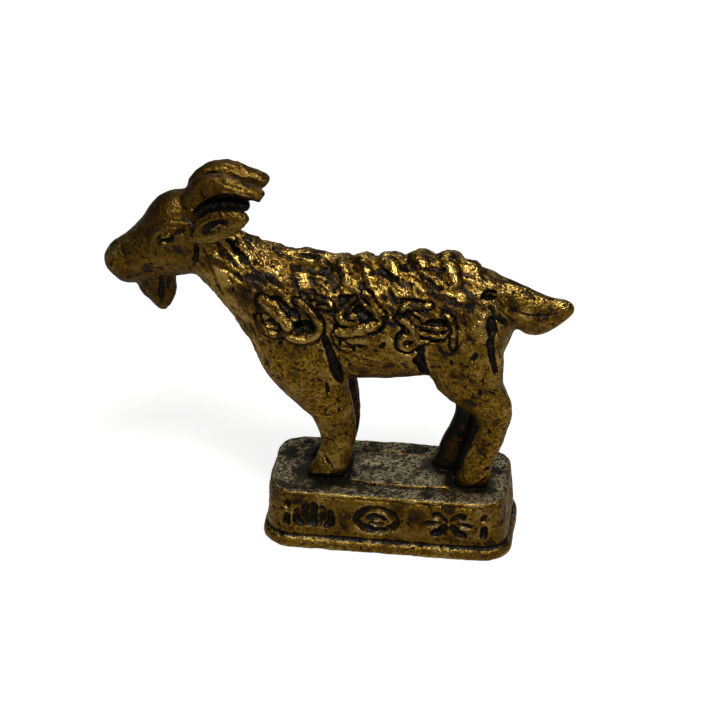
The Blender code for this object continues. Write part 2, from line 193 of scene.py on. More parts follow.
CORDS = {
    "scroll_collar_left": (
        (0.3, (10, 28), (18, 22), (25, 15), (30, 9)),
        (0.16, (8, 14), (11, 6), (19, 3), (26, 5), (28, 10)),
    ),
    "scroll_shoulder_left": (
        (0.2, (12, 9), (15, 5), (23, 4), (32, 8), (35, 15), (30, 23), (23, 28), (18, 31)),
        (0.13, (22, 32), (29, 34), (37, 32), (41, 31), (41, 28), (34, 28)),
    ),
    "scroll_middle_left": (
        (0.17, (13, 28), (8, 23), (4, 18), (4, 14), (7, 12), (12, 11), (16, 13)),
        (0.16, (9, 16), (13, 17), (16, 16)),
        (0.11, (17, 27), (22, 23), (26, 21), (29, 18), (32, 15)),
        (0.14, (19, 33), (24, 29), (26, 25), (30, 21), (34, 19)),
        (0.26, (3, 5), (9, 5), (17, 7), (23, 9), (31, 13)),
        (0.1, (0, 3), (2, -2), (4, -6), (8, -8), (12, -8)),
    ),
    "scroll_haunch_left": (
        (0.19, (6, 30), (8, 34), (13, 35), (19, 35), (25, 36)),
        (0.11, (11, 29), (16, 25), (20, 22), (28, 21), (37, 21)),
        (0.12, (18, 17), (24, 16), (32, 15), (37, 18)), (0.12, (19, 10), (24, 11)),
        (0.14, (35, 31), (39, 28), (41, 22), (41, 14), (41, 7)),
    ),
    "scroll_rear_left": (
        (0.19, (1, 29), (8, 26), (12, 22), (13, 17), (15, 13), (12, 9), (8, 7), (4, 9), (4, 13), (7, 16),
         (10, 15)),
    ),
}
RIDGES = {
    "scroll_middle_left": (
        (0.08, (32, 22), (34, 26), (38, 26), (39, 23), (36, 20), (36, 18)),
    ),
    "front_leg_left": (
        (0.12, (36, 122), (42, 121), (44, 115), (46, 107)),
        (0.08, (54, 112), (56, 107), (58, 101)), (0.16, (31, 12), (39, 14), (47, 15)),
    ),
    "torso": (
        (0.12, (61, 33), (72, 32), (81, 29), (91, 26), (102, 28)),
        (0.12, (99, 35), (107, 33), (111, 36)), (0.13, (117, 84), (123, 79)),
        (0.12, (122, 87), (128, 82)), (0.13, (84, 83), (85, 79)),
        (0.12, (131, 81), (135, 85)), (0.2, (26, 82), (33, 81), (42, 80), (50, 79)),
        (0.12, (41, 78), (48, 76), (50, 74)),
        (0.12, (66, 77), (73, 75), (80, 70), (85, 65)),
        (0.1, (97, 87), (105, 87), (113, 85)), (0.1, (61, 27), (65, 15), (70, 11)),
    ),
    "scroll_haunch_left": (
        (0.08, (14, 31), (17, 30), (22, 32), (27, 31)),
    ),
    "scroll_rear_left": (
        (0.09, (7, 23), (8, 19)),
    ),
    "rear_leg_left": (
        (0.15, (-1, 127), (0, 118), (2, 105)),
        (0.1, (13, 156), (18, 154), (22, 152), (21, 149)),
        (0.1, (24, 26), (26, 31), (29, 37), (32, 43)),
        (0.13, (21, 10), (30, 13), (36, 17), (40, 21)),
    ),
    "tail": (
        (0.08, (-3, 36), (-1, 37), (4, 36)), (0.1, (2, 35), (11, 35), (16, 32)),
    ),
    "horn_left": (
        (0.13, (9, 20), (12, 26), (18, 29), (28, 30), (40, 28)),
        (0.11, (12, 10), (17, 14), (25, 20), (33, 22), (39, 21), (46, 20)),
    ),
    "head": (
        (0.13, (44, 45), (48, 46.5)), (0.09, (36, 43), (41, 48), (47, 51), (53, 51)),
        (0.1, (40, 51), (47, 54), (55, 55), (61, 55)), (0.14, (60, 54), (60, 49), (62, 43)),
        (0.06, (12, 28), (13, 27), (15, 25)), (0.08, (25, 12), (32, 12), (39, 13)),
        (0.14, (55, 61), (61, 63), (65, 64)), (0.1, (45, 39), (50, 36)),
    ),
    "beard": (
        (0.06, (6, 25), (7, 18), (13, 11), (17, 5)), (0.06, (23, 21), (24, 14)),
    ),
    "neck": (
        (0.12, (31, 82), (38, 78), (45, 72), (48, 69)), (0.1, (38, 82), (45, 76), (52, 72)),
        (0.08, (23, 83), (25, 79), (28, 76)),
    ),
    "ear_left": (
        (0.09, (4, 7), (6, 12), (11, 18), (18, 23), (26, 26), (35, 26)),
        (0.09, (4, 7), (9, 6), (17, 10), (26, 16), (33, 21), (38, 25)),
        (0.1, (17, 15), (23, 20)),
    ),
    "scroll_collar_left": (
        (0.07, (13, 30), (21, 23), (28, 17)),
    ),
}
LINES = {
    "scroll_shoulder_left": (
        (0.07, (12, 2), (23, 0), (33, 6), (38, 11)),
    ),
    "scroll_middle_left": (
        (0.1, (22, 4), (30, 6), (37, 7)), (0.07, (13, 1), (18, 2)),
    ),
    "torso": (
        (0.08, (65, 31), (73, 28), (83, 24)), (0.08, (62, 29), (66, 23), (68, 18)),
        (0.08, (124, 88), (130, 83)), (0.07, (59, 30), (69, 24), (81, 21), (94, 21)),
        (0.07, (64, 32), (74, 29), (89, 26), (104, 25)),
        (0.06, (77, 36), (95, 35), (107, 31)), (0.06, (68, 14), (87, 15), (107, 16)),
    ),
    "scroll_haunch_left": (
        (0.09, (31, 5), (35, 2), (39, 2), (43, 5), (45, 10), (45, 14)),
    ),
    "rear_leg_left": (
        (0.06, (23, 157), (24, 150), (25, 142)), (0.06, (32, 40), (37, 38), (41, 34)),
    ),
    "tail": (
        (0.11, (11, 30), (17, 23), (24, 20), (35, 19), (45, 20)),
        (0.08, (2, 32), (8, 26), (13, 20), (19, 10)),
    ),
    "horn_left": (
        (0.08, (26, 28), (32, 27), (40, 25), (48, 23)), (0.07, (14, 22), (16, 15)),
        (0.07, (8, 16), (9, 11)),
    ),
    "head": (
        (0.07, (13, 29), (15, 27), (17, 25)), (0.06, (31, 28), (34, 26)),
        (0.06, (23, 11), (30, 15), (39, 16)), (0.07, (63, 74), (62, 69), (65, 64)),
        (0.07, (72, 31), (66, 27), (62, 21)),
    ),
    "beard": (
        (0.07, (9, 23), (11, 18), (16, 14)), (0.06, (19, 14), (19, 5)),
    ),
    "neck": (
        (0.08, (46, 69), (51, 63), (57, 59), (65, 56)),
        (0.07, (7, 83), (11, 72), (16, 61), (19, 50)),
        (0.07, (13, 84), (19, 77), (24, 67), (28, 58)),
        (0.08, (20, 84), (26, 75), (31, 68), (34, 59)), (0.06, (10, 57), (15, 42)),
        (0.06, (24, 55), (30, 45), (35, 35)),
    ),
    "scroll_collar_left": (
        (0.07, (5, 10), (8, 1), (16, -3), (24, -4)),
    ),
    "front_leg_left": (
        (0.09, (40, 41), (44, 41), (48, 40), (49, 35)),
    ),
}


# ---- the distance field ----

CORNERS = np.array([(dx, dy, dz) for dx in (0, 1) for dy in (0, 1) for dz in (0, 1)])  # of a cell


class Field:
    """Signed distance on a regular grid, negative inside the metal."""

    def __init__(self, low, high):
        self.low = np.array(low, float)
        self.shape = tuple(np.ceil((np.array(high) - low) / CELL).astype(int) + 1)
        self.values = self.blank()
        self.owner = np.zeros(self.shape, np.int8)
        self.nearest = self.blank()
        self.axes = [self.low[a] + CELL * np.arange(self.shape[a]) for a in range(3)]

    def blank(self):
        return np.full(self.shape, BAND, np.float32)

    def block(self, low, high):
        """Slices of the grid that cover a box."""
        first = np.floor((np.array(low) - self.low) / CELL).astype(int)
        last = np.ceil((np.array(high) - self.low) / CELL).astype(int) + 1
        return tuple(
            slice(max(a, 0), min(max(b, 1), n)) for a, b, n in zip(first, last, self.shape)
        )

    def grid(self, where):
        """The X, Y and Z of some slices of the grid, ready to be combined."""
        return np.ix_(*[axis[part] for axis, part in zip(self.axes, where)])

    def melt(self, other, where, radius):
        self.values[where] = smooth_min(self.values[where], other, radius)

    def carve(self, other, where, radius):
        self.values[where] = -smooth_min(-self.values[where], other, radius)

    def sample(self, points, values=None):
        """The field at some points, read between the cells."""
        values = self.values if values is None else values
        at = (np.asarray(points) - self.low) / CELL
        corner = np.clip(np.floor(at).astype(int), 0, np.array(values.shape) - 2)
        share = np.clip(at - corner, 0, 1)
        total = 0.0
        for step in CORNERS:
            weight = np.abs(1 - step - share).prod(axis=1)
            total = total + weight * values[tuple((corner + step).T)]
        return total

    def normals(self, points, values=None):
        steps = np.eye(3) * CELL
        found = [self.sample(points + d, values) - self.sample(points - d, values) for d in steps]
        found = np.stack(found, axis=1)
        return found / np.maximum(np.linalg.norm(found, axis=1, keepdims=True), 1e-9)


def smooth_min(a, b, radius):
    near = np.maximum(radius - np.abs(a - b), 0) / radius
    return np.minimum(a, b) - near * near * (radius / 4)


def gather(values, block, where):
    """Adds one more shape to an array of distances."""
    values[where] = np.minimum(values[where], block)


def blurred(values, sigma):
    """The field after a Gaussian blur of that many millimetres."""
    reach = max(1, int(math.ceil(2.5 * sigma / CELL)))
    taps = np.exp(-0.5 * (np.arange(-reach, reach + 1) * CELL / sigma) ** 2)
    taps = (taps / taps.sum()).astype(np.float32)
    for axis in range(3):
        widths = [(reach, reach) if a == axis else (0, 0) for a in range(3)]
        padded = np.pad(values, widths, mode="edge")
        length = values.shape[axis]
        out = np.zeros_like(values)
        for i, tap in enumerate(taps):
            where = [slice(None)] * 3
            where[axis] = slice(i, i + length)
            out += tap * padded[tuple(where)]
        values = out
    return values


def node_corners(node):
    low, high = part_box(node)
    return np.array(low) * MM, np.array(high) * MM


def node_block(field, mesh):
    """The distance to one CAD part, and the slices of the grid it covers."""
    points = np.array([v.co for v in mesh.vertices], np.float64) * MM
    mesh.calc_loop_triangles()
    triangles = np.array([t.vertices for t in mesh.loop_triangles], np.uint32)
    where = field.block(points.min(0) - BAND, points.max(0) + BAND)
    level = openvdb.FloatGrid.createLevelSetFromPolygons(
        (points - field.low).astype(np.float32),
        triangles=triangles,
        transform=openvdb.createLinearTransform(CELL),
        halfWidth=BAND / CELL,
    )
    block = np.empty([s.stop - s.start for s in where], np.float32)
    level.copyToArray(block, ijk=[s.start for s in where])
    return block, where


def curve_through(points, step=0.12):
    """A smooth curve through the points, cut into short straight lengths."""
    points = np.asarray(points, float)
    if len(points) < 3:
        return points
    padded = np.vstack([2 * points[0] - points[1], points, 2 * points[-1] - points[-2]])
    out = [points[0]]
    for a, b, c, d in zip(padded, padded[1:], padded[2:], padded[3:]):
        count = max(1, int(np.linalg.norm(c - b) / step))
        for i in range(1, count + 1):
            t = i / count
            out.append(
                0.5 * (2 * b + (c - a) * t + (2 * a - 5 * b + 4 * c - d) * t * t
                       + (3 * b - a - 3 * c + d) * t ** 3)
            )
    return np.array(out)


def rod(field, path, radii):
    """Distance to a round rod along a path, and the slices of the grid it covers."""
    radii = np.broadcast_to(radii, len(path))
    reach = float(np.max(radii)) + 0.35
    where = field.block(path.min(0) - reach, path.max(0) + reach)
    x, y, z = field.grid(where)
    block = np.full([s.stop - s.start for s in where], BAND, np.float32)
    for a, b, ra, rb in zip(path, path[1:], radii, radii[1:]):
        span = b - a
        size = float(span @ span)
        inner = field.block(np.minimum(a, b) - reach, np.maximum(a, b) + reach)
        sub = tuple(slice(i.start - w.start, i.stop - w.start) for i, w in zip(inner, where))
        px, py, pz = x[sub[0]] - a[0], y[:, sub[1]] - a[1], z[:, :, sub[2]] - a[2]
        t = np.clip((px * span[0] + py * span[1] + pz * span[2]) / size, 0, 1)
        d = np.sqrt((px - t * span[0]) ** 2 + (py - t * span[1]) ** 2 + (pz - t * span[2]) ** 2)
        gather(block, d - (ra + (rb - ra) * t), sub)
    return block, where


def tapered(count, radius, ends=0.6):
    """Radii along a stroke that thins at both ends and isn't quite even between them."""
    if count < 4:
        return np.full(count, radius)
    along = np.linspace(0, 1, count)
    swell = np.sqrt(np.minimum(1.0, 5 * np.minimum(along, 1 - along)))
    uneven = 1 + 0.1 * np.sin(9 * along + 40 * radius) + 0.07 * np.sin(23 * along + 90 * radius)
    return radius * (ends + (1 - ends) * swell) * uneven


# ---- relief on the flanks ----

class Shell:
    """Where the goat's two flanks are, so that relief can be laid on them."""

    def __init__(self, field):
        self.field = field
        self.base = field.values.copy()
        self.depth = {}
        for side in SIDES:
            values = self.base if side == NEAR else self.base[:, ::-1]
            inside = values < 0
            hit = inside.any(axis=1)
            first = np.maximum(np.argmax(inside, axis=1), 1)
            i, k = np.indices(first.shape)
            outer = values[i, first - 1, k]
            inner = values[i, first, k]
            place = first - 1 + outer / np.maximum(outer - inner, 1e-6)
            if side == FAR:
                place = field.shape[1] - 1 - place
            self.depth[side] = np.where(hit, field.low[1] + CELL * place, np.nan)

    def lay(self, points, side, lift):
        """Points given in X and Z, set on that flank and then raised along its normal."""
        i, k = np.rint((points - self.field.low[::2]) / CELL).astype(int).T
        y = self.depth[side][i, k]
        met = np.flatnonzero(~np.isnan(y))
        y = eased(np.interp(np.arange(len(y)), met, y[met])[:, None])[:, 0]
        on = np.stack([points[:, 0], y, points[:, 1]], axis=1)
        return on + lift * eased(self.field.normals(on, self.base))


def eased(rows):
    """Each row averaged with its neighbours along a path."""
    if len(rows) < 3:
        return rows
    for _ in range(8):
        padded = np.concatenate([rows[:1], rows, rows[-1:]])
        rows = (padded[:-2] + padded[1:-1] + padded[2:]) / 3
    return rows


def strokes(table):
    """Every stroke of a relief table, on both flanks: side, radius and curve in X and Z."""
    for anchor, rows in table.items():
        for side in SIDES:
            low = node_corners(anchor.replace("_left", "_right") if side == FAR else anchor)[0]
            for radius, *points in rows:
                yield side, radius, curve_through(np.array(points) / TENTHS + (low[0], low[2]))


def carve_relief(field):
    """Cuts the hollows, lays the cords in beds of their own and scores the fine lines."""
    shell = Shell(field)
    # The first gathers where the surface is painted dark, as patina and as shade: the pools, the tunnels and
    # the webs.
    pool_and_shade, bed = field.blank(), field.blank()

    def work(act, table, blend, lift=(0.0, 0.0), grow=(1.0, 0.0), ends=0.6, mark=None):
        """Carves or melts a rod along each stroke. Lift and grow are a share of its radius, and a sum."""
        for side, radius, curve in strokes(table):
            path = shell.lay(curve, side, lift[0] * radius + lift[1])
            block, where = rod(field, path, tapered(len(path), grow[0] * radius + grow[1], ends))
            act(block, where, blend)
            if mark is not None:
                gather(mark, block, where)

    work(field.carve, DISHES, blend=0.1, lift=(0.4, 0.0), ends=0.35)
    work(field.carve, CUTS, blend=0.08, lift=(0.0, -0.04), grow=(1.3, 0.0), ends=0.3)
    work(field.carve, CORDS, blend=0.05, lift=(0.3, 0.04), grow=(1.4, 0.12), ends=0.9)
    work(field.melt, CORDS, blend=0.03, lift=(0.0, -0.06), grow=(1.4, 0.0), mark=bed)
    field.carve(CORD_HEIGHT - shell.base, EVERYWHERE, 0.05)
    work(field.melt, CORDS, blend=0.1, grow=(0.9, 0.0))
    field.carve(CORD_CREST - shell.base, EVERYWHERE, 0.05)
    work(field.melt, RIDGES, blend=0.1, lift=(-0.3, 0.0))
    work(field.carve, LINES, blend=0.04, ends=0.3)
    for side, radius, curve in strokes(PATINA_AND_SHADE_POOLS):
        gather(pool_and_shade, *rod(field, shell.lay(curve, side, -0.1), radius))
    # The walls of the tunnels and the webs are painted dark as shade, this far round them.
    for act, table, shade_reach in ((field.carve, TUNNELS, 0.1), (field.melt, SHADE_WEBS, 0.06)):
        for radius, *points in table:
            for side in SIDES:
                block, where = rod(field, curve_through(np.array(points) * (1, side, 1)), radius)
                act(block, where, 0.1)
                gather(pool_and_shade, block - shade_reach, where)
    return shell.base, pool_and_shade, bed


# ---- the plinth ----

BLOCK_LEAN = 0.22  # how far the block's sides lean in by its top
BLOCK_CORNER, BLOCK_EDGE = 1.9, 0.22
PLATE_LEAN, PLATE_CORNER, PLATE_EDGE = 0.1, 2.2, 0.34
FACE_BELOW_TOP = 1.75  # middle of the frieze, below the block's top
PATCH_EDGE = ((-3.0, -0.95), (-2.4, -1.7), (-0.9, -1.95), (0.9, -2.05), (2.6, -2.0), (4.1, -1.85))


def both_ways(*rows):
    """The strokes given, each followed by its mirror image."""
    return tuple(
        (radius, *((flip * x, z) for x, z in points)) for radius, *points in rows for flip in (1, -1)
    )


# Strokes of the frieze ornaments: radius, then offsets along the face and upwards from their middle.
PALMETTE = (
    (0.17, (0, -0.8), (0, 0.2), (0, 0.85)),
    *both_ways(
        (0.15, (-0.35, -0.75), (-0.62, -0.1), (-0.55, 0.7)),
        (0.14, (-0.8, -0.85), (-1.2, -0.4), (-1.15, 0.3)),
    ),
)
ALMOND = (
    (0.15, (-1.45, 0), (-0.8, 0.62), (0.1, 0.85), (0.95, 0.6), (1.5, 0)),
    (0.15, (-1.45, -0.15), (-0.8, -0.7), (0.1, -0.88), (0.95, -0.65), (1.5, -0.15)),
    (0.14, (-0.55, 0.1), (0.05, 0.2), (0.6, 0.05)),
    (0.09, (-0.4, -0.3), (0.1, -0.4), (0.5, -0.3)),
)
LEAVES = both_ways(
    (0.15, (-1.1, 0.75), (-0.6, 0.55), (-0.2, 0.15)),
    (0.15, (-1.1, -0.8), (-0.6, -0.55), (-0.2, -0.15)),
    (0.12, (-1.35, 0), (-0.6, 0)),
)
DOT_PAIR = (
    (0.15, (0, 0.6), (0.05, 0.75)),
    (0.14, (0, -0.7), (0.05, -0.2)),
)
FRONT_FRIEZE = ((-6.8, DOT_PAIR), (-4.9, PALMETTE), (-0.6, ALMOND), (4.4, LEAVES), (6.8, DOT_PAIR))
END_FRIEZE = ((-1.6, DOT_PAIR), (0.0, PALMETTE), (1.6, DOT_PAIR))


def slab(field, low, high, corner, edge, lean):
    """Distance to an oblong block with round corners and edges, its sides leaning in by its top."""
    where = field.block(low - BAND, high + BAND)
    x, y, z = field.grid(where)
    middle, half = (low + high) / 2, (high - low) / 2
    shrink = lean * np.clip((z - low[2]) / (high[2] - low[2]), 0, 1)
    qx = np.abs(x - middle[0]) - (half[0] - corner) + shrink
    qy = np.abs(y - middle[1]) - (half[1] - corner) + shrink
    flat = round_corner(qx, qy) - corner
    found = round_corner(flat + edge, np.abs(z - middle[2]) - half[2] + edge) - edge
    return np.clip(found, -BAND, BAND).astype(np.float32), where


def round_corner(a, b):
    """Distance to the corner where two distances meet."""
    return np.hypot(np.maximum(a, 0), np.maximum(b, 0)) + np.minimum(np.maximum(a, b), 0)


def ring_path(low, high, corner, height, grow):
    """A path round a block's outline at one height."""
    half = (high - low)[:2] / 2 - corner
    reach = corner + grow
    out = []
    for turn, (sx, sy) in enumerate(((1, 1), (-1, 1), (-1, -1), (1, -1))):
        for step in range(9):
            angle = math.radians(90 * turn + 90 * step / 8)
            x = sx * half[0] + reach * math.cos(angle)
            y = sy * half[1] + reach * math.sin(angle)
            out.append((x, y, height))
    return np.array(out + out[:1])


def engrave(field, frieze, grow, place):
    """Carves a row of ornaments on two opposite faces; place turns a side and offsets into X, Y, Z."""
    for along, ornament in frieze:
        for side in SIDES:
            for radius, *points in ornament:
                sideways, upwards = curve_through(np.array(points)).T
                path = np.stack(np.broadcast_arrays(*place(side, along, sideways, upwards)), axis=1)
                field.carve(*rod(field, path, tapered(len(path), grow * radius)), 0.05)


def build_plinth(field):
    plate_low, plate_high = node_corners("base_plate")
    block_low, block_high = node_corners("plinth_block")
    block_low[2] = plate_high[2] - 0.2
    field.melt(*slab(field, plate_low, plate_high, PLATE_CORNER, PLATE_EDGE, PLATE_LEAN), 0.05)
    field.melt(*slab(field, block_low, block_high, BLOCK_CORNER, BLOCK_EDGE, BLOCK_LEAN), 0.05)
    seam = ring_path(block_low, block_high, BLOCK_CORNER, plate_high[2] + 0.08, 0.0)
    field.carve(*rod(field, seam, 0.12), 0.05)
    lip = ring_path(block_low, block_high, BLOCK_CORNER, block_high[2] - 0.32, -BLOCK_LEAN + 0.02)
    field.carve(*rod(field, lip, 0.07), 0.08)
    add_patch(field, block_high[2])
    middle_z = block_high[2] - FACE_BELOW_TOP
    lean = BLOCK_LEAN * (middle_z - block_low[2]) / (block_high[2] - block_low[2])
    end_x, front_y = block_high[0] - lean - 0.04, block_high[1] - lean - 0.04
    engrave(field, FRONT_FRIEZE, 1.9, lambda side, along, sideways, upwards: (
        -side * along + sideways, side * front_y, middle_z + upwards))
    engrave(field, END_FRIEZE, 1.2, lambda side, along, sideways, upwards: (
        side * end_x, along + 0.8 * sideways, middle_z + upwards))


def add_patch(field, height):
    """A thin irregular slab between the feet, with a lip and a dark groove along its long edges."""
    for side in SIDES:
        edge = curve_through([(x, -side * y, height) for x, y in PATCH_EDGE])
        field.melt(*rod(field, edge + (0, -side * 0.1, 0.0), 0.13), 0.08)
        field.carve(*rod(field, edge + (0, side * 0.16, -0.02), 0.11), 0.05)
    x, y, z = np.ix_(*field.axes)
    inside = np.maximum(np.abs(x - 0.6) - 3.3, np.abs(y) - 1.75)
    slope = np.maximum(inside, np.abs(z - height) - 0.07)
    field.melt(slope.astype(np.float32), EVERYWHERE, 0.12)


# ---- the whole casting ----

def claim(field, index, block, where, bias):
    """Marks the cells that are nearer to this CAD part than to any before it."""
    near = field.nearest[where]
    closer = block - bias < near
    field.owner[where][closer] = index
    np.copyto(near, block - bias, where=closer)


def claim_bias(node):
    """How much further a raised ornament's claim reaches than that of the part below it."""
    if node.startswith("scroll_rear"):
        return 0.3
    return 0.16 if node.startswith(("scroll", "back_lock", "mane")) else 0.0


def add_lock(field, node):
    """A thick lock of hair lying over the back, as high as its CAD part and fading down both flanks."""
    low, high = node_corners(node)
    radius = 0.4 * (high[0] - low[0])
    y = 1.5 * np.linspace(-1, 1, 9)
    x = (low[0] + high[0]) / 2 - 0.12 + 0.5 * np.abs(y)
    z = high[2] - radius - 0.02 - 0.32 * y ** 2
    path = curve_through(np.stack([x, y, z], axis=1))
    field.melt(*rod(field, path, radius * (1 - 0.3 * np.abs(path[:, 1]))), 0.3)


def add_crest(field, locks):
    """The ridge that runs from the mane along the back, joining the locks."""
    tops = [node_corners(lock) for lock in locks]
    mane_x = node_corners("mane_crest")[1][0]
    path = [(mane_x - 1.4, 0.0, 20.75), (mane_x, 0.0, 20.5)]
    path += [((low[0] + high[0]) / 2, 0.0, high[2] - 1.0) for low, high in tops]
    path.append((tops[-1][1][0] + 0.7, 0.0, tops[-1][1][2] - 1.2))
    field.melt(*rod(field, curve_through(path), 0.62), 0.4)


def build_field(nodes, names):
    """The whole casting, and the distances that its colours are read from."""
    lows, highs = zip(*(node_corners(n) for n in names))
    field = Field(np.min(lows, axis=0) - MARGIN, np.max(highs, axis=0) + MARGIN)
    blocks = {n: node_block(field, nodes[n].data) for n in names}
    for node, radius, growth in MELT:
        block, where = blocks[node]
        field.melt(block - growth, where, radius)
    field.values = blurred(field.values, SOFTEN)
    for node, radius, growth in MELT_FINE:
        block, where = blocks[node]
        if node.startswith("horn"):
            shift = int(HORNS_CLOSER / CELL) * (1 if node.endswith("_left") else -1)
            where = (where[0], slice(where[1].start + shift, where[1].stop + shift), where[2])
        field.melt(block - growth, where, radius)
    locks = [n for n in names if n.startswith("back_lock")]
    for lock in locks:
        add_lock(field, lock)
    add_crest(field, locks)
    field.values = blurred(field.values, SOFTEN_FINE)
    marks = dict(zip(("uncut", "pool_and_shade", "bed"), carve_relief(field)))
    build_plinth(field)
    for index, node in enumerate(names):
        claim(field, index, *blocks[node], claim_bias(node))
    for mark, words in (("legs", ("_leg_", "horn")), ("tail", ("tail",))):
        marks[mark] = field.blank()
        for node, (block, where) in blocks.items():
            if any(word in node for word in words):
                gather(marks[mark], block, where)
    return field, marks


# ---- surface ----

# Where the looks change, along X and Z.
FACE_X = (-13.5, -11.5)  # from the face to the neck
MANE_X = (-10.5, -8.5)  # from the neck to the mane
RUMP_X = (-9.5, -1.5)  # from the mane to the back
SIDE_Z = (14.5, 18.5)  # from the belly to the side
BACK_Z = (16.5, 20.0)  # from the belly to the back
JAW_Z = (21.8, 22.8)  # from the neck to the jaw
CROWN_Z = (22.4, 23.4)  # from the jaw to the top of the head
HORN_Z = (24.2, 24.8)


def noise(points, size, seed):
    """Smooth noise between -1 and 1, with features of about that size."""
    rng = np.random.default_rng(seed)
    table = rng.uniform(-1, 1, 512)
    order = rng.permutation(512)
    at = points / size + 1000.0
    cell = np.floor(at).astype(int)
    f = at - cell
    f = f * f * (3 - 2 * f)
    total = np.zeros(len(points))
    for step in CORNERS:
        key = 0
        for axis in range(3):
            key = order[(key + cell[:, axis] + step[axis]) & 511]
        total += np.abs(1 - step - f).prod(axis=1) * table[key]
    return total


def streaks(points, along, width, length, seed):
    """Noise drawn out along one direction in the X-Z plane, as combed hair is."""
    along = np.array((along[0], 0.0, along[1])) / math.hypot(*along)
    run = points @ along
    squeezed = points - np.outer(run * (1 - width / length), along)
    return noise(squeezed, width, seed)


def rises(low, high, value):
    """0 below low, 1 above high and smooth between them."""
    t = np.clip((value - low) / (high - low), 0, 1)
    return t * t * (3 - 2 * t)


def falls(low, high, value):
    return 1 - rises(low, high, value)


def joined(count, pairs):
    """A number for each of count things, the same for things that the pairs join."""
    label = np.arange(count)
    while True:
        low = np.minimum(label[pairs[:, 0]], label[pairs[:, 1]])
        fresh = label.copy()
        np.minimum.at(fresh, label[pairs[:, 0]], low)
        np.minimum.at(fresh, label[pairs[:, 1]], low)
        fresh = fresh[fresh]
        if np.array_equal(fresh, label):
            return label
        label = fresh


def surface(field):
    """The outer surface of the field: points in mm and quads that face outwards."""
    grid = openvdb.FloatGrid(BAND)
    grid.copyFromArray(field.values)
    points, quads = grid.convertToQuads(0.0)
    quads = quads.astype(np.int64)
    part = joined(len(points), np.concatenate([quads[:, (0, 1)], quads[:, (1, 2)], quads[:, (2, 3)]]))
    largest = np.bincount(part).argmax()
    quads = quads[part[quads[:, 0]] == largest]
    used, quads = np.unique(quads, return_inverse=True)
    return points[used].astype(float) * CELL + field.low, quads.reshape(-1, 4)


def mesh_normals(points, quads):
    p = points[quads]
    face = np.cross(p[:, 2] - p[:, 0], p[:, 3] - p[:, 1])
    total = np.zeros_like(points)
    for i in range(4):
        np.add.at(total, quads[:, i], face)
    return total / np.maximum(np.linalg.norm(total, axis=1, keepdims=True), 1e-12)


def quad_pairs(quads):
    """Pairs of quads that share an edge."""
    edges = np.sort(np.concatenate([quads[:, (i, (i + 1) % 4)] for i in range(4)]), axis=1)
    owner = np.tile(np.arange(len(quads)), 4)
    key = edges[:, 0] * (quads.max() + 1) + edges[:, 1]
    order = np.argsort(key, kind="stable")
    same = key[order][1:] == key[order][:-1]
    return np.stack([owner[order][:-1][same], owner[order][1:][same]], axis=1)


SPECK = 400  # islands of fewer quads than this join their neighbour


def shares(field, points, quads):
    """The index of the CAD part that each quad belongs to, without specks."""
    middle = points[quads].mean(axis=1)
    cell = np.rint((middle - field.low) / CELL).astype(int)
    label = field.owner[tuple(cell.T)].astype(int)
    pairs = quad_pairs(quads)
    for _ in range(3):
        same = label[pairs[:, 0]] == label[pairs[:, 1]]
        island = joined(len(quads), pairs[same])
        small = np.bincount(island, minlength=len(quads))[island] < SPECK
        across = pairs[~same]
        for one, other in ((0, 1), (1, 0)):
            move = small[across[:, one]] & ~small[across[:, other]]
            target = np.full(len(quads), -1)
            target[island[across[move, one]]] = label[across[move, other]]
            found = target[island]
            label = np.where(small & (found >= 0), found, label)
            small = small & (found < 0)
    return label


def displaced(field, points, quads):
    """The surface roughened as cast metal, and the height of its fine grain at each point."""
    x, z = points[:, 0], points[:, 2]
    flank = rises(*SIDE_Z, z) * rises(-13.0, -10.5, x) * falls(6.5, 8.5, x)
    neck = rises(-13.5, -12.0, x) * falls(-8.5, -6.0, x) * rises(11.0, 14.0, z) * falls(21.6, 22.8, z)
    calm = 1 - 0.75 * rises(*JAW_Z, z)
    lumps = calm * ((0.018 + 0.03 * flank) * noise(points, 0.36, 12) + 0.012 * noise(points, 0.19, 13))
    hair = 0.10 * flank * (0.5 - np.abs(streaks(points, (0.7, -0.7), 0.32, 1.1, 15)))
    hair += 0.12 * neck * (0.5 - np.abs(streaks(points, (0.45, -0.9), 0.24, 0.8, 16)))
    pits = -0.07 * calm * rises(0.45, 0.8, noise(points, 0.17, 14))
    swell = 0.045 * noise(points, 0.9, 11)
    height = swell + lumps + hair + pits
    return points + field.normals(points) * height[:, None], lumps + hair + pits


